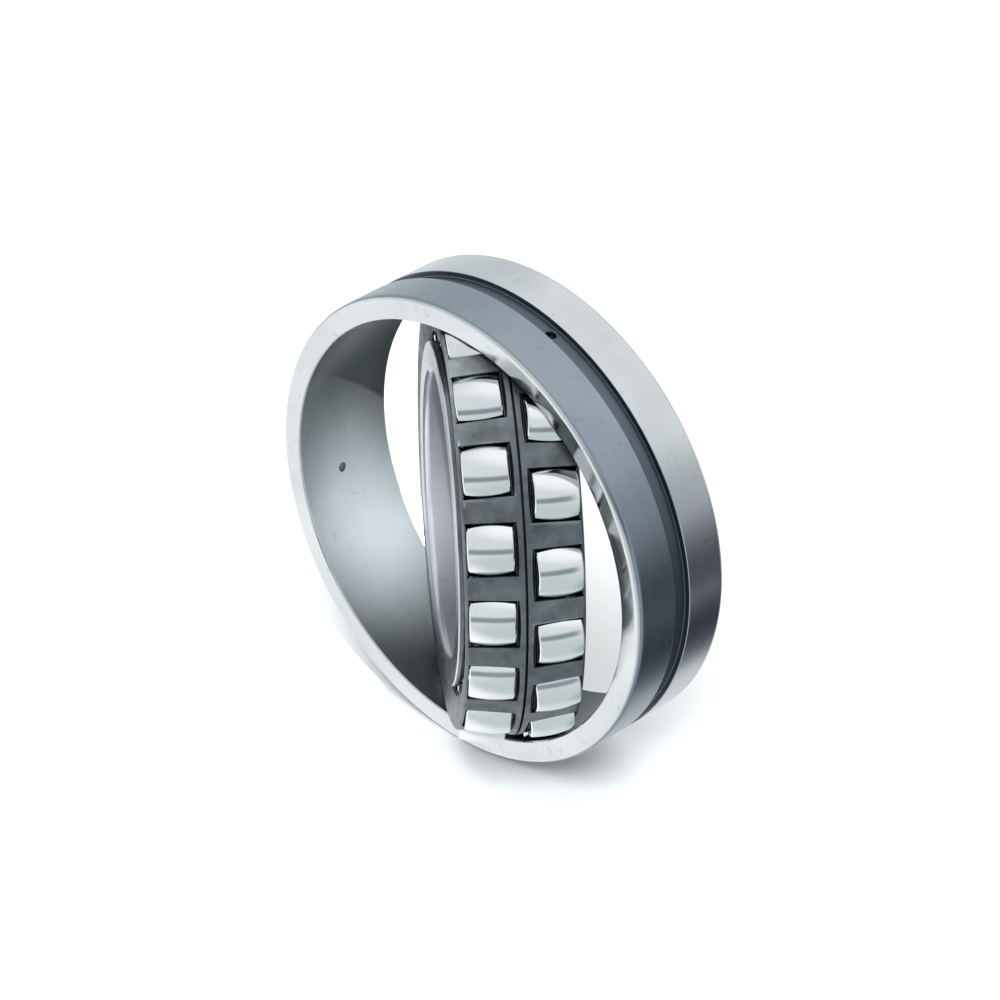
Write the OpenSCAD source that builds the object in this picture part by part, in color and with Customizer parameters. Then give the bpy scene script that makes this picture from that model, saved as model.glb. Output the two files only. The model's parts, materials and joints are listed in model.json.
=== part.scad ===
// Spherical roller bearing. Two rows of barrel rollers run between an outer
// ring with one hollow-sphere raceway and an inner ring with two inclined
// tracks, so the inner ring can lean and swing inside the outer ring.
//
// Millimetres. The origin is the centre of the spherical raceway. The outer
// ring stands upright, its axis along Y and its front face towards -Y. The
// inner ring, cages and rollers are drawn swung out about the upright Z axis.

/* [Outer ring] */
// Outside diameter of the outer ring
outer_d = 150; // [125:0.5:180]
// Width of both rings
ring_width = 36; // [30:0.1:44]
// Wall left at the middle of the spherical raceway
outer_wall = 5.2; // [4:0.1:7]
// Radius of the rounded ring corners
corner_r = 2; // [0.5:0.1:2.4]
// Bevel between the raceway and the side faces
race_bevel = 0.5; // [0.2:0.1:0.8]
// Width of the lubrication groove round the outside
groove_width = 6; // [3:0.1:8]
// Depth of the lubrication groove
groove_depth = 1.8; // [0.5:0.1:2]
// Number of lubrication holes
lube_holes = 3; // [1:1:6]
// Diameter of the lubrication holes
lube_hole_d = 3; // [1.5:0.1:4]
// Angle of the first lubrication hole, from +X up towards +Z
lube_hole_angle = 73; // [0:1:360]

/* [Inner ring] */
// Bore for the shaft
bore_d = 85; // [70:0.5:102]
// Least wall between the bore and the roller tracks
inner_wall = 7.6; // [5:0.1:10]
// Height of the side ribs above the ends of the tracks
rib_height = 1.3; // [0.6:0.1:2]
// Radius of the inner ring's track over the radius of the rollers' barrel
track_ratio = 1.01; // [1.005:0.001:1.03]

/* [Rollers] */
// Rollers in each row
rollers_per_row = 18; // [12:1:22]
// Least gap between neighbouring rollers
roller_spacing = 2.5; // [1.5:0.1:6]
// Gap between each roller and its tracks
track_gap = 0.2; // [0.1:0.05:0.3]
// Gap at each end of a roller
end_gap = 0.25; // [0.15:0.05:0.4]
// How much smaller the barrel radius is than the spherical raceway
barrel_relief = 1.8; // [1:0.1:4]
// Chamfer at the ends of a roller
roller_chamfer = 0.6; // [0.3:0.1:1]
// Diameter of the shallow recess in each roller end
recess_d = 5; // [3:0.1:6]
// Depth of the shallow recess in each roller end
recess_depth = 0.4; // [0.2:0.1:0.8]
// Angle of the first front roller, from +X up towards +Z
front_angle = 3.2; // [0:0.1:30]
// Angle of the first rear roller, from +X up towards +Z
rear_angle = 16.2; // [0:0.1:30]

/* [Guide ring and cages] */
// Half the width of the guide ring at its bore
guide_half = 0.7; // [0.5:0.1:2]
// Gap between the guide ring and the pieces inside and outside it
guide_gap = 0.3; // [0.15:0.05:0.5]
// Thickness of the cage's end flange
flange_thick = 1.1; // [0.8:0.1:2]
// How far the cage's outer edge lies inside the ring faces
cage_inset = 0.3; // [-1:0.1:2]
// Gap between a cage pocket and its roller
pocket_gap = 0.25; // [0.15:0.05:0.4]
// Gap between the two cages at the middle
cage_split = 0.5; // [0.3:0.1:1]
// Height of the cage's outer face above the roller axis, as a share of the roller radius
cage_top_share = 0.645; // [0.5:0.005:0.7]
// Height of the cage's inner face above the roller axis, as a share of the roller radius
cage_under_share = 0.4; // [0.3:0.005:0.45]
// Depth of the end flange below the roller axis, as a share of the roller radius
flange_low_share = 0.5; // [0.3:0.01:0.6]

/* [Pose] */
// Angle that the inner ring and its rollers are swung out about the upright axis
swing = 38; // [0:1:90]

/* [Hidden] */
outer_r = outer_d / 2;
bore_r = bore_d / 2;
half_width = ring_width / 2;
race_r = outer_r - outer_wall;
past = 1;                       // how far a cut runs past the faces that it opens

// Distance of a row's centre from the middle plane, for the distance of the
// roller centres from the origin and the roller radius
axial_room = half_width - cage_inset + guide_half - flange_thick;
function row_offset_of(dist, r) = axial_room / (2 - (1 - cage_top_share) * r / dist);

// Largest roller radius that leaves both the spacing in the row and the inner
// ring's wall; each round starts from the last one's answer
function fitted_roller_r(r, rounds) =
    rounds == 0 ? r
    : let (dist = race_r - track_gap - r,
           row_r = sqrt(pow(dist, 2) - pow(row_offset_of(dist, r), 2)),
           by_spacing = row_r * sin(180 / rollers_per_row) - roller_spacing / 2,
           by_wall = (dist + r - track_gap - (bore_r + inner_wall) * dist / row_r) / 2)
      fitted_roller_r(min(by_spacing, by_wall), rounds - 1);

// Rollers come in steps of half a millimetre of diameter
roller_d = floor(4 * fitted_roller_r((outer_r - bore_r) / 4, 12)) / 2;
roller_r = roller_d / 2;
pitch_dist = race_r - track_gap - roller_r;
row_offset = row_offset_of(pitch_dist, roller_r);
tilt = asin(row_offset / pitch_dist);
pitch_r = pitch_dist * cos(tilt);
roller_length = 2 * (row_offset - guide_half - end_gap - roller_r * sin(tilt)) / cos(tilt);
barrel_r = race_r - barrel_relief;
row_pitch = 360 / rollers_per_row;

// Inner ring: the track's deepest place and its two ends, at the same tilt as
// the rollers
track_r = barrel_r * track_ratio;
track_dist = pitch_dist - roller_r - track_gap;
track_end_dist = track_dist + track_r - sqrt(pow(track_r, 2) - pow(roller_length / 2, 2));
land_r = track_end_dist * cos(tilt) + roller_length / 2 * sin(tilt);
rib_r = track_end_dist * cos(tilt) - roller_length / 2 * sin(tilt) + rib_height;

// Cages: heights are measured from the roller axis
room_half_length = roller_length / 2 + end_gap;
cage_top = cage_top_share * roller_r;
cage_under = cage_under_share * roller_r;
flange_low = -flange_low_share * roller_r;
cage_half_length = room_half_length + flange_thick;
bend_r = flange_thick;
rim_under_r = (pitch_dist + cage_under) * cos(tilt) + room_half_length * sin(tilt);

guide_bore_r = land_r + guide_gap;
guide_outer_r = rim_under_r - guide_gap;

function two_digits(number) = number < 10 ? str("0", number) : str(number);
function roller_name(row, index) = str("roller_", row, "_", two_digits(index + 1));

$fn = 120;

// Turns a piece drawn about Z upright: its axis runs along Y, its top faces -Y
module upright() {
    rotate([90, 0, 0]) children();
}

// Places a piece of the inner set, which is drawn about Z with its front up
module swung_out() {
    rotate([0, 0, -swing]) upright() children();
}

// Draws a front-row piece as it is, and the rear-row one as its mirror image
module row_side(front) {
    if (front) children();
    else mirror([0, 0, 1]) children();
}

// What a rounded corner takes away, for a corner at the origin of a section
// that fills the quarter with positive X and Y
module corner_waste(radius) {
    difference() {
        translate([-past, -past]) square(radius + past);
        translate([radius, radius]) circle(radius);
    }
}

// Both faces of a section that is symmetric about the middle plane
module both_faces() {
    children();
    mirror([0, 1]) children();
}

// A section in the tilted frame of a roller row: X runs out from the origin
// through the roller centre, Y along the roller axis towards the ring face
module tilted() {
    rotate(tilt) children();
}

module outer_ring_section() {
    difference() {
        translate([race_r - 2 * outer_wall, -half_width])
            square([3 * outer_wall, ring_width]);
        circle(race_r);
        translate([outer_r - groove_depth, -groove_width / 2])
            square([groove_depth + past, groove_width]);
        both_faces() translate([outer_r, half_width])
            rotate(180) corner_waste(corner_r);
        both_faces() translate([mouth_r, half_width])
            rotate(45) square(race_bevel * sqrt(2), center = true);
    }
}
mouth_r = sqrt(pow(race_r, 2) - pow(half_width, 2));

module lube_hole_cuts() {
    for (index = [0 : lube_holes - 1])
        rotate([0, 0, lube_hole_angle + index * 360 / lube_holes])
            translate([race_r - outer_wall, 0, 0])
                rotate([0, 90, 0])
                    cylinder(d = lube_hole_d, h = 3 * outer_wall);
}

module outer_ring() {
    color("silver") upright() difference() {
        rotate_extrude() outer_ring_section();
        lube_hole_cuts();
    }
}

module roller_room_section() {
    tilted() intersection() {
        translate([track_dist + track_r, 0]) circle(track_r);
        translate([track_dist - past, -room_half_length])
            square([2 * roller_d, 2 * room_half_length]);
    }
}

module inner_ring_section() {
    difference() {
        union() {
            translate([bore_r, -half_width]) square([rib_r - bore_r, ring_width]);
            translate([bore_r, -row_offset]) square([land_r - bore_r, 2 * row_offset]);
        }
        both_faces() roller_room_section();
        both_faces() translate([bore_r, half_width])
            rotate(-90) corner_waste(corner_r);
    }
}

module inner_ring() {
    color("gainsboro") swung_out() rotate_extrude() inner_ring_section();
}

module guide_ring() {
    color("slategray") swung_out() rotate_extrude() difference() {
        translate([guide_bore_r, -half_width])
            square([guide_outer_r - guide_bore_r, ring_width]);
        both_faces() tilted() translate([0, -room_half_length])
            square([outer_d, outer_d]);
    }
}

module cage_section() {
    intersection() {
        tilted() difference() {
            union() {
                translate([pitch_dist + cage_under, -outer_r])
                    square([cage_top - cage_under, outer_r + cage_half_length]);
                translate([pitch_dist + flange_low, room_half_length])
                    square([cage_top - flange_low, flange_thick]);
            }
            translate([pitch_dist + cage_top, cage_half_length])
                rotate(180) corner_waste(bend_r);
        }
        translate([0, cage_split / 2]) square(outer_d);
    }
}

module roller_place(angle) {
    rotate([0, 0, angle]) translate([pitch_r, 0, row_offset])
        rotate([0, -tilt, 0]) children();
}

module cage(front, first_angle) {
    color("slategray") swung_out() row_side(front) difference() {
        rotate_extrude() cage_section();
        for (index = [0 : rollers_per_row - 1])
            roller_place(first_angle + index * row_pitch)
                cylinder(r = roller_r + pocket_gap, h = 2 * room_half_length, center = true);
    }
}

module cage_front() {
    cage(true, front_angle);
}

module cage_rear() {
    cage(false, rear_angle);
}

module roller_section() {
    difference() {
        intersection() {
            translate([roller_r - barrel_r, 0]) circle(barrel_r);
            translate([0, -roller_length / 2]) square([roller_r, roller_length]);
        }
        both_faces() translate([roller_end_r, roller_length / 2])
            rotate(45) square(roller_chamfer * sqrt(2), center = true);
        both_faces() translate([-past, roller_length / 2 - recess_depth])
            square([past + recess_d / 2, recess_depth + past]);
    }
}
roller_end_r = roller_r - barrel_r + sqrt(pow(barrel_r, 2) - pow(roller_length / 2, 2));

module roller(front, first_angle, index) {
    color("whitesmoke") swung_out() row_side(front)
        roller_place(first_angle + index * row_pitch)
            rotate_extrude() roller_section();
}

outer_ring();
inner_ring();
guide_ring();
cage_front();
cage_rear();
for (index = [0 : rollers_per_row - 1]) {
    roller(true, front_angle, index);
    roller(false, rear_angle, index);
}
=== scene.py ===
"""Looks of a spherical roller bearing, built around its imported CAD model.

Metres, in the CAD's own frame: the origin is the centre of the spherical
raceway and the outer ring's axis runs along Y, its front face towards -Y.
"""
import json
import math
from collections import namedtuple

import bmesh
import bpy
from mathutils import Matrix, Vector


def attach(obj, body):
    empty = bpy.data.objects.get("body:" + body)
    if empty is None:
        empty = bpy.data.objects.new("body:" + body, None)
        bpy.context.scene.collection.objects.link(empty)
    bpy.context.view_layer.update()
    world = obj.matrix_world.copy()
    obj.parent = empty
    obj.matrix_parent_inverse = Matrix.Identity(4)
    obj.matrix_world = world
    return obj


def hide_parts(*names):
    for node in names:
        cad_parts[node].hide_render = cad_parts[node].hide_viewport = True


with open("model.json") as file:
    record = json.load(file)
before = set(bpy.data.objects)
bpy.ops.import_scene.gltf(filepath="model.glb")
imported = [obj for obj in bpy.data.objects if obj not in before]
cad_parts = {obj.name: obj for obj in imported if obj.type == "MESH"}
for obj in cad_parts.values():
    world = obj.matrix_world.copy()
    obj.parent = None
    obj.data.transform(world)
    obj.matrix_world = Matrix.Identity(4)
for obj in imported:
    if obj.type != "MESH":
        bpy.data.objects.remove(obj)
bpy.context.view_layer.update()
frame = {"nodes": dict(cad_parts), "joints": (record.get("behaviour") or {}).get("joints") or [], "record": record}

MM = 0.001
SAME = 0.001 * MM       # closer than this is the same height or radius
NEAR = 0.01 * MM
ROWS = ("front", "rear")
NODES = frame["nodes"]
JOINTS = {joint["name"]: joint for joint in frame["joints"]}
MOUNTS = {mount["name"]: mount for mount in frame["record"]["mounts"]}
ORIGIN = Vector((0, 0, 0))
OUTER_AXIS = Vector(MOUNTS["outer_diameter"]["axis"])
INNER_AXIS = Vector(JOINTS["inner_spin"]["axis"])


# ---------------------------------------------------------------- sizes

def about(node, centre, axis):
    """(distance from an axis, height along it) of each vertex of a CAD node."""
    found = []
    for vertex in NODES[node].data.vertices:
        arm = vertex.co - centre
        height = arm.dot(axis)
        found.append(((arm - height * axis).length, height))
    return found


def roller_names(row):
    return sorted(name for name in NODES if name.startswith(f"roller_{row}_"))


def roller_joint(name):
    """Centre and axis of a roller, with the axis pointing to the rear face."""
    joint = JOINTS[f"{name}_spin"]
    return Vector(joint["pos_m"]), Vector(joint["axis"])


def outer_sizes():
    points = about("outer_ring", ORIGIN, OUTER_AXIS)
    outer_r = MOUNTS["outer_diameter"]["dims"]["r_mm"] * MM
    race_r = min(math.hypot(r, h) for r, h in points)
    half_width = max(h for r, h in points)
    face = [r for r, h in points if h > half_width - SAME]
    groove = [(r, h) for r, h in points
              if race_r + 1 * MM < r < outer_r - 0.4 * MM and abs(h) < 5 * MM]
    return {
        "outer_r": outer_r,
        "half_width": half_width,
        "race_r": race_r,
        "groove_r": max(r for r, h in groove),
        "groove_half": max(h for r, h in groove),
        "face_r": min(face),
        "corner_r": outer_r - max(face),
    }


def roller_sizes():
    name = roller_names("front")[0]
    centre, axis = roller_joint(name)
    points = about(name, centre, axis)
    half = max(h for r, h in points)
    face = [r for r, h in points if h > half - SAME]
    side = [(r, h) for r, h in points if r > max(face) + NEAR]
    return {
        "r": max(r for r, h in points),
        "half": half,
        "face_r": max(face),
        "recess_r": min(face),
        "recess_h": max(h for r, h in points if r < min(face) + SAME and h < half - SAME),
        "side_r": min(r for r, h in side),
        "side_h": max(h for r, h in side),
        "dist": centre.length,
        "tilt": math.acos(min(1.0, abs(axis.dot(INNER_AXIS)))),
    }


OUTER = outer_sizes()
ROLLER = roller_sizes()
TILT_COS, TILT_SIN = math.cos(ROLLER["tilt"]), math.sin(ROLLER["tilt"])


def tilted_point(n, u):
    """(r, h) of a point given along a row's own normal and roller axis."""
    return n * TILT_COS - u * TILT_SIN, n * TILT_SIN + u * TILT_COS


def own_point(r, h):
    """The other way round: (n, u) of a point given as (r, h)."""
    return r * TILT_COS + h * TILT_SIN, -r * TILT_SIN + h * TILT_COS


# ---------------------------------------------------------------- mesh tools

SUPPORT = 0.12 * MM                 # flat strip beside each rounded corner
SMOOTH_ANGLE = math.radians(32)


def arc(centre, radius, start, end, steps):
    """Points on an arc, from angle start to angle end, in radians."""
    for step in range(steps + 1):
        angle = start + (end - start) * step / steps
        yield Vector((centre[0] + radius * math.cos(angle),
                      centre[1] + radius * math.sin(angle)))


def rounded(corners, steps=5):
    """A closed outline with its corners rounded. Each corner is (r, h, radius),
    and a corner with no radius is kept as a plain point."""
    outline = []
    for index, (r, h, radius) in enumerate(corners):
        corner = Vector((r, h))
        if radius == 0:
            outline.append(corner)
            continue
        before = Vector(corners[index - 1][:2]) - corner
        after = Vector(corners[(index + 1) % len(corners)][:2]) - corner
        half_angle = before.angle(after) / 2
        reach = radius / math.tan(half_angle)
        inward = (before.normalized() + after.normalized()).normalized()
        middle = corner + inward * (radius / math.sin(half_angle))
        first = corner + before.normalized() * reach - middle
        last = corner + after.normalized() * reach - middle
        turn = first.angle_signed(last)
        outline.append(corner + before.normalized() * (reach + SUPPORT))
        for step in range(steps + 1):
            angle = -turn * step / steps
            spun = Vector((first.x * math.cos(angle) - first.y * math.sin(angle),
                           first.x * math.sin(angle) + first.y * math.cos(angle)))
            outline.append(middle + spun)
        outline.append(corner + after.normalized() * (reach + SUPPORT))
    return outline


def standing(axis, centre=ORIGIN, towards=Vector((0, 0, 1))):
    """Matrix that puts local Z along an axis, with local X near a direction."""
    z = axis.normalized()
    x = (towards - towards.dot(z) * z).normalized()
    y = z.cross(x)
    return Matrix.Translation(centre) @ Matrix((x, y, z)).transposed().to_4x4()


def smooth_mesh(mesh):
    mesh.polygons.foreach_set("use_smooth", [True] * len(mesh.polygons))
    mesh.set_sharp_from_angle(angle=SMOOTH_ANGLE)
    mesh.update()


def mesh_from(name, build):
    """A mesh made by a function that fills a bmesh."""
    made = bmesh.new()
    build(made)
    bmesh.ops.recalc_face_normals(made, faces=made.faces)
    mesh = bpy.data.meshes.new(name)
    made.to_mesh(mesh)
    made.free()
    smooth_mesh(mesh)
    return mesh


def lathe_into(made, outline, segments, matrix=Matrix.Identity(4)):
    """Turns a closed (r, h) outline about Z into a bmesh."""
    rings = []
    for r, h in outline:
        ring = []
        for index in range(segments):
            angle = 2 * math.pi * index / segments
            point = Vector((r * math.cos(angle), r * math.sin(angle), h))
            ring.append(made.verts.new(matrix @ point))
        rings.append(ring)
    for index, ring in enumerate(rings):
        following = rings[(index + 1) % len(rings)]
        for step in range(segments):
            nxt = (step + 1) % segments
            made.faces.new((ring[step], ring[nxt], following[nxt], following[step]))
    bmesh.ops.remove_doubles(made, verts=made.verts, dist=1e-8)


def lathe(name, outline, segments):
    return mesh_from(name, lambda made: lathe_into(made, outline, segments))


def piece(name, mesh, matrix, material, node):
    """Shows a mesh in place of a CAD node, riding on that node's body."""
    made = bpy.data.objects.new(name, mesh)
    bpy.context.scene.collection.objects.link(made)
    made.matrix_world = matrix
    if not mesh.materials:
        mesh.materials.append(material)
    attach(made, node)
    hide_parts(node)
    return made


def cut(mesh, cutter):
    """A mesh with another one taken away from it, both in the same frame."""
    body = bpy.data.objects.new("cut_body", mesh)
    tool = bpy.data.objects.new("cut_tool", cutter)
    for each in (body, tool):
        bpy.context.scene.collection.objects.link(each)
    modifier = body.modifiers.new("cut", "BOOLEAN")
    modifier.operation = "DIFFERENCE"
    modifier.solver = "EXACT"
    modifier.object = tool
    graph = bpy.context.evaluated_depsgraph_get()
    result = bpy.data.meshes.new_from_object(body.evaluated_get(graph))
    for each in (body, tool):
        bpy.data.objects.remove(each)
    smooth_mesh(result)
    return result


# ---------------------------------------------------------------- materials

class Nodes:
    """Short ways to make and join the shader nodes of a material or a world."""

    def __init__(self, owner):
        owner.use_nodes = True
        self.tree = owner.node_tree
        self.shader = self.tree.nodes.get("Principled BSDF")

    def add(self, kind, **settings):
        node = self.tree.nodes.new(kind)
        for key, value in settings.items():
            setattr(node, key, value)
        return node

    def join(self, output, socket):
        self.tree.links.new(output, socket)

    def feed(self, value, socket):
        """Joins an output to a socket, or sets the socket to a number or colour."""
        if isinstance(value, bpy.types.NodeSocket):
            self.join(value, socket)
        elif isinstance(value, tuple) and len(socket.default_value) == 4:
            socket.default_value = (*value, 1)
        else:
            socket.default_value = value

    def math(self, operation, *values):
        node = self.add("ShaderNodeMath", operation=operation)
        for socket, value in zip(node.inputs, values):
            self.feed(value, socket)
        return node.outputs[0]

    def mix(self, amount, first, second, blend="MIX"):
        node = self.add("ShaderNodeMix", data_type="RGBA", blend_type=blend)
        for index, value in ((0, amount), (6, first), (7, second)):
            self.feed(value, node.inputs[index])
        return node.outputs[2]

    def ramp(self, value, stops):
        node = self.add("ShaderNodeValToRGB")
        for element, (place, colour) in zip(node.color_ramp.elements, stops):
            element.position = place
            element.color = (*colour, 1)
        self.join(value, node.inputs[0])
        return node.outputs[0]

    def span(self, value, low, high, to_low, to_high, kind="LINEAR"):
        node = self.add("ShaderNodeMapRange", interpolation_type=kind)
        self.join(value, node.inputs["Value"])
        for key, number in (("From Min", low), ("From Max", high),
                            ("To Min", to_low), ("To Max", to_high)):
            node.inputs[key].default_value = number
        return node.outputs["Result"]

    def between(self, value, low, high, soft=0.05 * MM):
        """1 where a value lies between two others, with a short soft edge."""
        rise = self.span(value, low - soft, low + soft, 0.0, 1.0)
        fall = self.span(value, high - soft, high + soft, 1.0, 0.0)
        return self.math("MULTIPLY", rise, fall)

    def around(self):
        """(angle round Z, distance from Z, height) in the piece's own frame."""
        place = self.add("ShaderNodeTexCoord").outputs["Object"]
        split = self.add("ShaderNodeSeparateXYZ")
        self.join(place, split.inputs[0])
        x, y, z = split.outputs
        angle = self.math("ARCTAN2", y, x)
        distance = self.math("SQRT", self.math("ADD", self.math("MULTIPLY", x, x),
                                               self.math("MULTIPLY", y, y)))
        return place, angle, distance, z

    def noise(self, vector, scale, detail=3.0, roughness=0.5):
        node = self.add("ShaderNodeTexNoise")
        node.inputs["Scale"].default_value = scale
        node.inputs["Detail"].default_value = detail
        node.inputs["Roughness"].default_value = roughness
        self.join(vector, node.inputs["Vector"])
        return node.outputs["Fac"]

    def vector(self, *values):
        node = self.add("ShaderNodeCombineXYZ")
        for socket, value in zip(node.inputs, values):
            self.feed(value, socket)
        return node.outputs[0]

    def bump(self, height, strength, distance):
        node = self.add("ShaderNodeBump")
        node.inputs["Strength"].default_value = strength
        node.inputs["Distance"].default_value = distance
        self.join(height, node.inputs["Height"])
        self.join(node.outputs["Normal"], self.shader.inputs["Normal"])


Region = namedtuple("Region", "measure low high low_h high_h tint added_rough metallic")
FAR = 1.0               # past the whole object
TURNED_STRETCH = 0.012  # how much slower the tool lines change round the axis


def ground_steel(name, dark, light, rough, lay=900.0, bump=0.12, anisotropy=0.35,
                 regions=()):
    """Ground or honed steel: fine lines round the piece's own Z axis, faint
    clouds of stain and a few darker specks of dried oil. A region lies between
    two values of its measure and two heights, and its measure is "radius",
    from the Z axis, or "ball", from the origin."""
    material = bpy.data.materials.new(name)
    n = Nodes(material)
    place, angle, distance, height = n.around()
    turning = n.vector(n.math("MULTIPLY", angle, TURNED_STRETCH), distance, height)
    lines = n.noise(turning, lay, 2.0, 0.7)
    wide = n.noise(turning, lay / 9, 2.0, 0.6)
    clouds = n.noise(place, 26.0, 4.0, 0.55)
    specks = n.ramp(n.noise(place, 420.0, 2.0, 0.6),
                    [(0.24, (0.55, 0.56, 0.58)), (0.36, (1, 1, 1))])
    stain = n.math("ADD", n.math("MULTIPLY", clouds, 0.7), n.math("MULTIPLY", wide, 0.3))
    colour = n.mix(0.35, n.ramp(stain, [(0.32, dark), (0.68, light)]), specks, "MULTIPLY")
    spread = n.math("ADD", n.math("MULTIPLY", lines, 0.5), n.math("MULTIPLY", clouds, 0.5))
    matt = n.span(spread, 0.3, 0.7, rough * 0.72, rough * 1.35)
    metal = 1.0
    square = n.math("ADD", n.math("MULTIPLY", distance, distance),
                    n.math("MULTIPLY", height, height))
    measures = {"radius": distance, "ball": n.math("SQRT", square)}
    for region in regions:
        inside = n.math("MULTIPLY",
                        n.between(measures[region.measure], region.low, region.high),
                        n.between(height, region.low_h, region.high_h))
        colour = n.mix(inside, colour, region.tint, "MULTIPLY")
        matt = n.math("ADD", matt, n.math("MULTIPLY", inside, region.added_rough))
        metal = n.math("SUBTRACT", metal, n.math("MULTIPLY", inside, 1 - region.metallic))
    n.feed(colour, n.shader.inputs["Base Color"])
    n.feed(matt, n.shader.inputs["Roughness"])
    n.feed(metal, n.shader.inputs["Metallic"])
    n.bump(n.math("ADD", lines, n.math("MULTIPLY", wide, 0.6)), bump, 0.02 * MM)
    n.shader.inputs["Anisotropic"].default_value = anisotropy
    tangent = n.add("ShaderNodeTangent", direction_type="RADIAL", axis="Z")
    n.join(tangent.outputs[0], n.shader.inputs["Tangent"])
    return material


def pressed_steel(name, dark, light, worn, rough):
    """Dark phosphated sheet steel, mottled, with bright rubbed edges."""
    material = bpy.data.materials.new(name)
    n = Nodes(material)
    place = n.add("ShaderNodeTexCoord").outputs["Object"]
    mottle = n.noise(place, 160.0, 5.0, 0.6)
    clouds = n.noise(place, 22.0, 3.0, 0.5)
    grain = n.noise(place, 1800.0, 3.0, 0.7)
    stain = n.math("ADD", n.math("MULTIPLY", mottle, 0.55), n.math("MULTIPLY", clouds, 0.45))
    edge = n.add("ShaderNodeNewGeometry").outputs["Pointiness"]
    uneven = n.math("MULTIPLY", n.math("SUBTRACT", mottle, 0.5), 0.08)
    rubbed = n.span(n.math("ADD", edge, uneven), 0.535, 0.60, 0.0, 0.75)
    colour = n.mix(rubbed, n.ramp(stain, [(0.34, dark), (0.66, light)]), worn)
    n.feed(colour, n.shader.inputs["Base Color"])
    n.feed(n.span(stain, 0.3, 0.7, rough * 1.2, rough * 0.8), n.shader.inputs["Roughness"])
    n.bump(n.math("ADD", grain, n.math("MULTIPLY", mottle, 0.8)), 0.25, 0.03 * MM)
    n.shader.inputs["Metallic"].default_value = 0.85
    return material


def pale_floor():
    material = bpy.data.materials.new("floor_paper")
    n = Nodes(material)
    tone = n.noise(n.add("ShaderNodeTexCoord").outputs["Object"], 3.0, 2.0, 0.5)
    n.join(n.ramp(tone, [(0.3, (0.93, 0.93, 0.93)), (0.7, (0.96, 0.96, 0.96))]),
           n.shader.inputs["Base Color"])
    n.shader.inputs["Roughness"].default_value = 0.9
    return material


BORE_R = MOUNTS["bore"]["dims"]["r_mm"] * MM
# Groove and lubrication hole walls: darker and rougher, partly the groove's own turned, unground finish and partly
# painted shade of its hollow.
GROOVE_REGION = Region("radius", OUTER["race_r"] + 0.3 * MM, OUTER["outer_r"] - 0.12 * MM,
                       -OUTER["groove_half"] - 0.3 * MM, OUTER["groove_half"] + 0.3 * MM,
                       tint=(0.20, 0.23, 0.27), added_rough=0.25, metallic=1.0)
# Painted shade: the front land of the outer diameter is tinted darker and bluer, standing in for the dimmer
# reflection it shows there.
FRONT_LAND_SHADE_REGION = Region("radius", OUTER["outer_r"] - 0.5 * MM, FAR, -FAR, -OUTER["groove_half"],
                      tint=(0.47, 0.53, 0.59), added_rough=0.08, metallic=1.0)
# Raceway: rougher and a little less metallic. Its dark tint is painted shade: it dims the raceway's reflections,
# leaving the race lamp's pool of light bright.
RACE_REGION = Region("ball", 0, OUTER["race_r"] + 0.1 * MM, -FAR, FAR,
                     tint=(0.34, 0.368, 0.372), added_rough=0.20, metallic=0.86)
BORE_REGION = Region("radius", 0, BORE_R + 0.3 * MM, -FAR, FAR,
                     tint=(0.98, 0.98, 1.0), added_rough=0.16, metallic=0.97)
OUTER_STEEL = ground_steel("outer_ring_ground", (0.52, 0.545, 0.565), (0.67, 0.69, 0.705),
                           0.15, lay=700.0, bump=0.07,
                           regions=(GROOVE_REGION, FRONT_LAND_SHADE_REGION, RACE_REGION))
INNER_STEEL = ground_steel("inner_ring_ground", (0.57, 0.575, 0.605), (0.70, 0.70, 0.74),
                           0.15, lay=320.0, bump=0.05, regions=(BORE_REGION,))
ROLLER_STEEL = ground_steel("roller_polished", (0.74, 0.76, 0.76), (0.86, 0.87, 0.87),
                            0.11, lay=500.0, bump=0.04, anisotropy=0.15)
GUIDE_IRON = ground_steel("guide_ring_iron", (0.10, 0.11, 0.12), (0.17, 0.18, 0.20), 0.42)
CAGE_STEEL = pressed_steel("cage_phosphated", (0.075, 0.090, 0.098), (0.21, 0.232, 0.245),
                           (0.30, 0.33, 0.35), 0.40)
# Painted shade: near-black sheet for the cut and pressed edges round the windows, standing in for the shadowed
# clearance round the rollers.
CAGE_WINDOW_SHADE = pressed_steel("cage_window_painted_shade", (0.012, 0.015, 0.017), (0.03, 0.036, 0.04),
                          (0.06, 0.07, 0.075), 0.55)


# ---------------------------------------------------------------- outer ring

GROOVE_DRAFT = 0.15 * MM            # slope of the groove's sides
LUBE_SINK = 0.35 * MM               # countersink of the lubrication holes


def outer_outline():
    """Section of the outer ring: raceway, front half, then rear half."""
    w, face, outer = OUTER["half_width"], OUTER["face_r"], OUTER["outer_r"]
    mouth = math.sqrt(OUTER["race_r"] ** 2 - w ** 2)
    bevel = face - mouth
    groove, floor = OUTER["groove_half"], OUTER["groove_r"]
    end = math.asin((w - bevel) / OUTER["race_r"])
    race = [(p.x, p.y, 0) for p in arc((0, 0), OUTER["race_r"], end, -end, 72)]
    side = [(face, -w, 0.2 * MM),
            (outer, -w, OUTER["corner_r"]),
            (outer, -groove, 0.3 * MM),
            (floor, -groove + GROOVE_DRAFT, 0.35 * MM)]
    mirrored = [(r, -h, radius) for r, h, radius in reversed(side)]
    return rounded(race + side + mirrored, 8)


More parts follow.
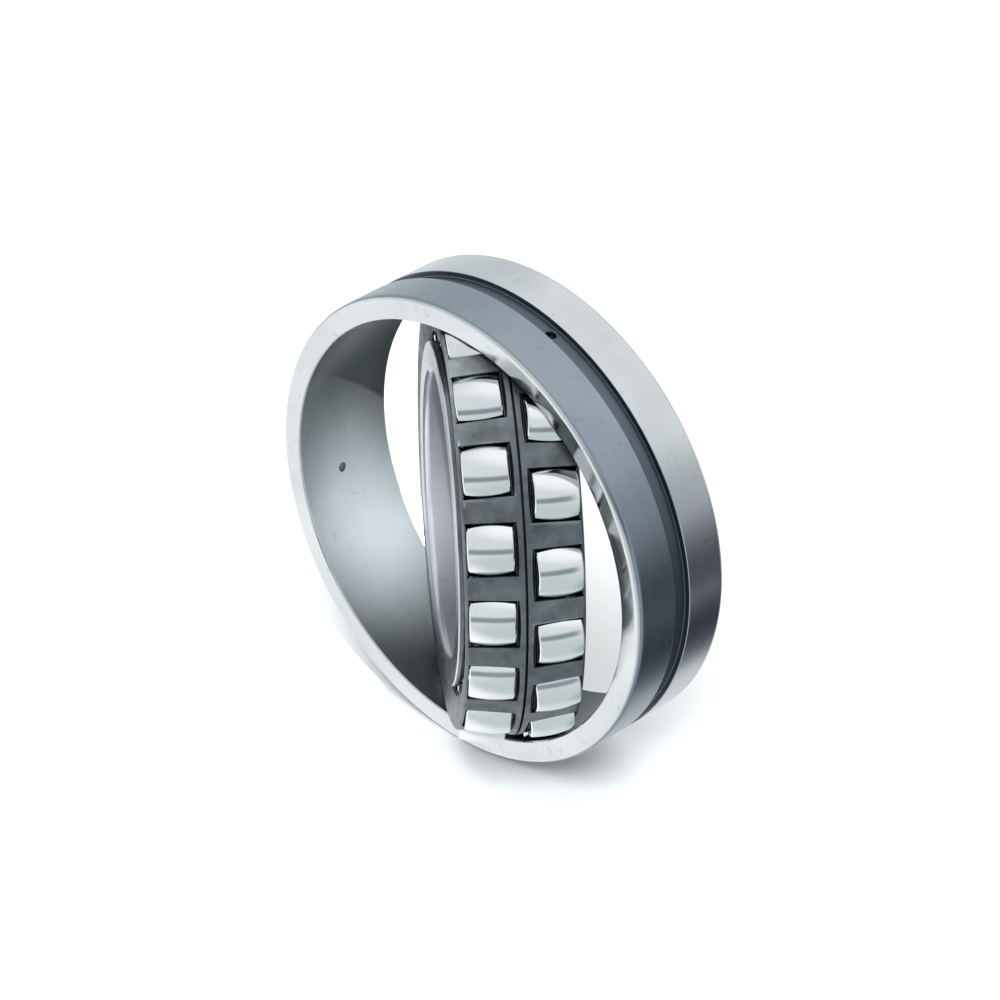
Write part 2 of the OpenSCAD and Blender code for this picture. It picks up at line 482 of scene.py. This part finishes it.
def lube_cutter(made):
    """The lubrication holes, countersunk where they meet the groove."""
    inside, floor = OUTER["race_r"] - 2 * MM, OUTER["groove_r"]
    for name in sorted(name for name in MOUNTS if name.startswith("lube_hole")):
        r = MOUNTS[name]["dims"]["r_mm"] * MM
        outline = [(0, inside), (r, inside), (r, floor - LUBE_SINK),
                   (r + 2 * LUBE_SINK, floor + LUBE_SINK), (0, floor + LUBE_SINK)]
        hole = standing(Vector(MOUNTS[name]["axis"]), towards=OUTER_AXIS)
        lathe_into(made, outline, 40, standing(OUTER_AXIS).inverted() @ hole)


def make_outer_ring():
    ring = lathe("outer_ring_body", outer_outline(), 360)
    ring = cut(ring, mesh_from("lube_cutter", lube_cutter))
    piece("outer_ring_body", ring, standing(OUTER_AXIS), OUTER_STEEL,
          "outer_ring")


# ---------------------------------------------------------------- inner ring

def track_sizes(points):
    """(deepest n, half length, arc radius) of a row's concave track."""
    track = [own_point(r, h) for r, h in points if h > 0]
    deep = min(n for n, u in track if abs(u) < ROLLER["half"] * 0.9 and n > BORE_R * 1.1)
    ends = [(n, u) for n, u in track if abs(u) < ROLLER["half"] + 0.5 * MM and n > deep]
    half = max(u for n, u in ends)
    sag = min(n for n, u in ends if u > half - NEAR) - deep
    return deep, half, (half ** 2 + sag ** 2) / (2 * sag)


def inner_outline():
    """Section of the inner ring: rear half from its track, bore, front half."""
    points = about("inner_ring", ORIGIN, INNER_AXIS)
    w = max(h for r, h in points)
    face = [r for r, h in points if h > w - SAME]
    rib, chamfer = max(face), min(face) - BORE_R
    deep, half, track_r = track_sizes(points)
    spread = math.asin(half / track_r)
    race = [(*tilted_point(deep + track_r - p.x, p.y), 0)
            for p in arc((0, 0), track_r, -spread, spread, 24)]
    lip_r, lip_h, _ = race[-1]
    side = race + [(rib, lip_h + (rib - lip_r) * math.tan(ROLLER["tilt"]), 0.15 * MM),
                   (rib, w, 0.4 * MM)]
    mirrored = [(r, -h, radius) for r, h, radius in reversed(side)]
    inside = [(BORE_R, w, chamfer), (BORE_R, -w, chamfer)]
    return rounded(side + inside + mirrored, 8)


def make_inner_ring():
    ring = lathe("inner_ring_body", inner_outline(), 288)
    piece("inner_ring_body", ring, standing(INNER_AXIS), INNER_STEEL,
          "inner_ring")


# ---------------------------------------------------------------- guide ring

def make_guide_ring():
    points = about("guide_ring", ORIGIN, INNER_AXIS)
    low, high = min(r for r, h in points), max(r for r, h in points)
    thin = max(h for r, h in points if r < low + SAME)
    wide = max(h for r, h in points if r > high - SAME)
    outline = rounded([(low, thin, 0.2 * MM), (low, -thin, 0.2 * MM),
                       (high, -wide, 0.3 * MM), (high, wide, 0.3 * MM)], 4)
    piece("guide_ring_body", lathe("guide_ring_body", outline, 240), standing(INNER_AXIS),
          GUIDE_IRON, "guide_ring")


# ---------------------------------------------------------------- rollers

BELLY_SPREAD = 0.97                 # share of the barrel's arc, before its end rounding
RECESS_TAPER = 0.86                 # floor radius of the end recess, against its mouth


def roller_place(name):
    """Matrix of a roller: its centre, its axis, and local X away from the bore."""
    centre, axis = roller_joint(name)
    return standing(axis, centre, centre - centre.dot(INNER_AXIS) * INNER_AXIS)


def roller_outline():
    """Section of a barrel roller: its belly, then its two recessed ends."""
    half, side_h = ROLLER["half"], ROLLER["side_h"]
    sag = ROLLER["r"] - ROLLER["side_r"]
    barrel = (side_h ** 2 + sag ** 2) / (2 * sag)
    spread = math.asin(side_h / barrel) * BELLY_SPREAD
    belly = [(p.x, p.y, 0)
             for p in arc((ROLLER["r"] - barrel, 0), barrel, spread, -spread, 30)]
    end = [(ROLLER["side_r"], -side_h, 0.25 * MM),
           (ROLLER["face_r"], -half, 0.2 * MM),
           (ROLLER["recess_r"], -half, 0.12 * MM),
           (ROLLER["recess_r"] * RECESS_TAPER, -ROLLER["recess_h"], 0.15 * MM),
           (0, -ROLLER["recess_h"], 0)]
    mirrored = [(r, -h, radius) for r, h, radius in reversed(end)]
    return rounded(belly + end + mirrored, 4)


def make_rollers():
    mesh = lathe("roller_body", roller_outline(), 96)
    mesh.materials.append(ROLLER_STEEL)
    for row in ROWS:
        for name in roller_names(row):
            piece(f"{name}_body", mesh, roller_place(name), ROLLER_STEEL,
                  name)


# ---------------------------------------------------------------- cages

ROW_SIDE = {"front": -1, "rear": 1}


def cage_outline(row):
    """Section of a cage: shell over the rollers, bend and end flange. Also its
    outer n and the u of its flange's inner face."""
    sign = ROW_SIDE[row]
    points = [(r, sign * h) for r, h in about(f"cage_{row}", ORIGIN, INNER_AXIS)]
    own = [own_point(r, h) for r, h in points]
    split = min(h for r, h in points)
    top = max(n for n, u in own)
    low = min(n for n, u in own)
    out = max(u for n, u in own)
    room = min(u for n, u in own if n < low + NEAR)
    under = min(n for n, u in own if u < -ROLLER["half"])
    start = (split - top * TILT_SIN) / TILT_COS
    start_under = (split - under * TILT_SIN) / TILT_COS
    bend = out - room + 0.4 * MM
    corners = [(top, start, 0.25 * MM), (top, out, bend), (low, out, 0.35 * MM),
               (low, room, 0.35 * MM), (under, room, 0.5 * MM), (under, start_under, 0.25 * MM)]
    outline = [tilted_point(n, u) for n, u in rounded(corners, 6)]
    return [(r, sign * h) for r, h in outline], top, room


COIN = 0.8 * MM                     # depth of the pressed slope round a window
POCKET_GAP = 0.25 * MM
EDGE_BEVEL = 0.12 * MM


def coined_mouth(made, own, top, room, side):
    """The pressed slope round a window's outer edge, as a flared box."""
    half = math.sqrt((ROLLER["r"] + POCKET_GAP) ** 2 - top ** 2)
    low = top - half ** 2 / (2 * (ROLLER["dist"] + top)) - COIN
    corners = []
    for x in (low, top + 2 * MM):
        flare = x - low
        y = half + flare
        ends = sorted((side * (room + 0.25 * MM), -side * (room + 0.1 * MM + 0.8 * flare)))
        corners.append([made.verts.new(own @ Vector((x, *place))) for place in
                        ((-y, ends[0]), (y, ends[0]), (y, ends[1]), (-y, ends[1]))])
    lower, upper = corners
    made.faces.new(list(reversed(lower)))
    made.faces.new(upper)
    for index in range(4):
        nxt = (index + 1) % 4
        made.faces.new((lower[index], lower[nxt], upper[nxt], upper[index]))


def roller_room(made, own, top, room, side):
    """The space that a roller turns in, as a plain cylinder."""
    radius = ROLLER["r"] + POCKET_GAP
    lathe_into(made, [(0, -room), (radius, -room), (radius, room), (0, room)], 72, own)


def window_cutters(row, top, room, shape):
    """One cutter shape at every roller of a row, in the cage's own frame."""
    local = standing(INNER_AXIS).inverted()

    def build(made):
        for name in roller_names(row):
            shape(made, local @ roller_place(name), top - ROLLER["dist"], room, ROW_SIDE[row])
    return mesh_from("window_cutters", build)


def is_cut_edge(face, row, room):
    """Whether a face is a cut or pressed edge, and not the sheet's own skin."""
    sign = ROW_SIDE[row]
    radial = Vector((face.center.x, face.center.y, 0))
    u = own_point(radial.length, sign * face.center.z)[1]
    radial.normalize()
    skin = radial * TILT_COS + Vector((0, 0, sign * TILT_SIN))
    across = abs(face.normal.dot(radial.cross(Vector((0, 0, 1)))))
    return across > 0.3 or (abs(face.normal.dot(skin)) < 0.9 and u < room + 0.05 * MM)


def make_cages():
    for row in ROWS:
        outline, top, room = cage_outline(row)
        shell = lathe(f"cage_{row}_body", outline, 288)
        for shape in (roller_room, coined_mouth):
            shell = cut(shell, window_cutters(row, top, room, shape))
        shell.materials.append(CAGE_STEEL)
        shell.materials.append(CAGE_WINDOW_SHADE)
        # Cut and pressed edges round the windows get the near-black painted shade material, the sheet's skin the
        # phosphated steel.
        for face in shell.polygons:
            face.material_index = int(is_cut_edge(face, row, room))
        made = piece(f"cage_{row}_body", shell, standing(INNER_AXIS), CAGE_STEEL,
                     f"cage_{row}")
        bevel = made.modifiers.new("edges", "BEVEL")
        bevel.width = EDGE_BEVEL
        bevel.segments = 2
        bevel.limit_method = "ANGLE"
        bevel.angle_limit = math.radians(50)


# ---------------------------------------------------------------- studio

VIEW_AZIMUTH = math.radians(45)
VIEW_ELEVATION = math.radians(33)
VIEW_DISTANCE = 20 * OUTER["outer_r"]
VIEW_LENS = 181.4                   # mm
SENSOR = 36.0                       # mm
AIM_UP = 0.0382 * OUTER["outer_r"]
AIM_RIGHT = 0.004 * OUTER["outer_r"]


FLOOR_SIZE = 6.0
SOFTBOXES = (
    # name, place, side, power, colour
    ("key_softbox", (-0.5, -0.3, 1.3), 1.2, 3.0, (1, 1, 1)),
    ("fill_softbox", (0.85, -0.85, 1.45), 0.8, 28.0, (0.98, 0.995, 1.0)),
)
RACE_LAMP_ANGLE = math.radians(-151)            # where on the raceway it points, and
RACE_LAMP_REAR = 0.06                           # how far back, in raceway radii
RACE_LAMP_ARM = Vector((0.45, -0.45, 0.77))     # from there to the lamp
RACE_LAMP_CONE = math.radians(3.9)
RACE_LAMP_POWER = 1180.0
RACE_LAMP_RADIUS = 0.02
SKY_BASE = (0.80, 0.85, 0.87)
SKY_LOBES = (
    # azimuth, elevation, half angle where full, half angle where gone, colour added
    (-136, -38, 30, 65, (0.50, 0.47, 0.45)),        # white paper under the near face
    (75, 60, 18, 60, (0.30, 0.28, 0.26)),           # overhead softbox, behind the ring
    (48, -34, 6, 40, (-0.48, -0.505, -0.50)),       # dark table edge behind the ring
    (62, -46, 3, 20, (-0.28, -0.30, -0.305)),       # its darkest part
    (38, -8, 4, 36, (-0.245, -0.26, -0.26)),        # its soft upper side
    (-25, -35, 15, 50, (-0.16, -0.13, -0.14)),      # table in front of the ring
)
BENCH_LOBE = (-38, 13, 32, 46, (-0.52, -0.51, -0.50))   # camera bench, a level stripe
BENCH_FULL, BENCH_GONE = 0.07, 0.24             # half height of the stripe, as a sine
BACKDROP = (0.95, 0.95, 0.95)


def make_camera():
    back = Vector((math.sin(VIEW_AZIMUTH) * math.cos(VIEW_ELEVATION),
                   -math.cos(VIEW_AZIMUTH) * math.cos(VIEW_ELEVATION),
                   math.sin(VIEW_ELEVATION)))
    right = Vector((math.cos(VIEW_AZIMUTH), math.sin(VIEW_AZIMUTH), 0))
    up = back.cross(right)
    camera = bpy.data.objects.new("camera", bpy.data.cameras.new("camera"))
    bpy.context.scene.collection.objects.link(camera)
    camera.data.lens = VIEW_LENS
    camera.data.sensor_width = SENSOR
    camera.location = back * VIEW_DISTANCE + up * AIM_UP + right * AIM_RIGHT
    camera.rotation_mode = "QUATERNION"
    camera.rotation_quaternion = back.to_track_quat("Z", "Y")
    camera.data.clip_start = 0.05
    camera.data.clip_end = 50
    bpy.context.scene.camera = camera


def make_floor():
    mesh = mesh_from("floor", lambda made: bmesh.ops.create_grid(
        made, x_segments=8, y_segments=8, size=FLOOR_SIZE))
    floor = bpy.data.objects.new("floor", mesh)
    bpy.context.scene.collection.objects.link(floor)
    floor.location.z = -OUTER["outer_r"]
    mesh.materials.append(pale_floor())
    floor.visible_glossy = False
    floor.visible_diffuse = False


def aimed_light(name, kind, place, target, power):
    """A lamp that lights matt surfaces and doesn't show in polished ones."""
    data = bpy.data.lights.new(name, kind)
    data.energy = power
    light = bpy.data.objects.new(name, data)
    bpy.context.scene.collection.objects.link(light)
    light.location = place
    light.rotation_mode = "QUATERNION"
    light.rotation_quaternion = (Vector(place) - target).to_track_quat("Z", "Y")
    light.visible_glossy = False
    return data


def make_lights():
    for name, place, side, power, colour in SOFTBOXES:
        data = aimed_light(name, "AREA", place, ORIGIN, power)
        data.shape = "RECTANGLE"
        data.size = data.size_y = side
        data.color = colour
    lit = OUTER["race_r"] * Vector((math.cos(RACE_LAMP_ANGLE), RACE_LAMP_REAR,
                                    math.sin(RACE_LAMP_ANGLE)))
    data = aimed_light("race_lamp", "SPOT", lit + RACE_LAMP_ARM, lit, RACE_LAMP_POWER)
    data.spot_size = RACE_LAMP_CONE
    data.spot_blend = 1.0
    data.shadow_soft_size = RACE_LAMP_RADIUS


def compass(azimuth, elevation):
    azimuth, elevation = math.radians(azimuth), math.radians(elevation)
    return Vector((math.cos(elevation) * math.cos(azimuth),
                   math.cos(elevation) * math.sin(azimuth), math.sin(elevation)))


def sky_lobe(n, place, azimuth, elevation, full, gone):
    """1 towards a direction of the sky, fading out round it."""
    dot = n.add("ShaderNodeVectorMath", operation="DOT_PRODUCT")
    n.feed(place, dot.inputs[0])
    n.feed(compass(azimuth, elevation), dot.inputs[1])
    return n.span(dot.outputs["Value"], math.cos(math.radians(gone)),
                  math.cos(math.radians(full)), 0.0, 1.0, "SMOOTHSTEP")


def sky_stripe(n, place, elevation, full, gone):
    """1 within a level stripe of the sky, fading above and below it."""
    split = n.add("ShaderNodeSeparateXYZ")
    n.feed(place, split.inputs[0])
    away = n.math("SUBTRACT", split.outputs["Z"], math.sin(math.radians(elevation)))
    return n.span(n.math("ABSOLUTE", away), gone, full, 0.0, 1.0, "SMOOTHSTEP")


def sky_added(n, total, amount, colour):
    scaled = n.add("ShaderNodeVectorMath", operation="SCALE")
    n.feed(colour, scaled.inputs[0])
    n.feed(amount, scaled.inputs["Scale"])
    added = n.add("ShaderNodeVectorMath", operation="ADD")
    n.feed(total, added.inputs[0])
    n.feed(scaled.outputs[0], added.inputs[1])
    return added.outputs[0]


def make_world():
    """Light from all round, brighter and darker in places, and a plain white
    backdrop where the camera sees past the object."""
    world = bpy.data.worlds.new("studio")
    bpy.context.scene.world = world
    n = Nodes(world)
    n.tree.nodes.clear()
    place = n.add("ShaderNodeTexCoord").outputs["Generated"]
    sky = SKY_BASE
    for *shape, colour in SKY_LOBES:
        sky = sky_added(n, sky, sky_lobe(n, place, *shape), colour)
    *shape, colour = BENCH_LOBE
    bench = n.math("MULTIPLY", sky_lobe(n, place, *shape),
                   sky_stripe(n, place, shape[1], BENCH_FULL, BENCH_GONE))
    sky = sky_added(n, sky, bench, colour)
    mix = n.add("ShaderNodeMixShader")
    n.feed(n.add("ShaderNodeLightPath").outputs["Is Camera Ray"], mix.inputs[0])
    for socket, colour in ((mix.inputs[1], sky), (mix.inputs[2], BACKDROP)):
        background = n.add("ShaderNodeBackground")
        n.feed(colour, background.inputs["Color"])
        n.feed(background.outputs[0], socket)
    n.feed(mix.outputs[0], n.add("ShaderNodeOutputWorld").inputs["Surface"])


make_camera()
make_outer_ring()
make_inner_ring()
make_guide_ring()
make_rollers()
make_cages()
make_floor()
make_world()
make_lights()
bpy.context.scene.view_settings.view_transform = "Standard"
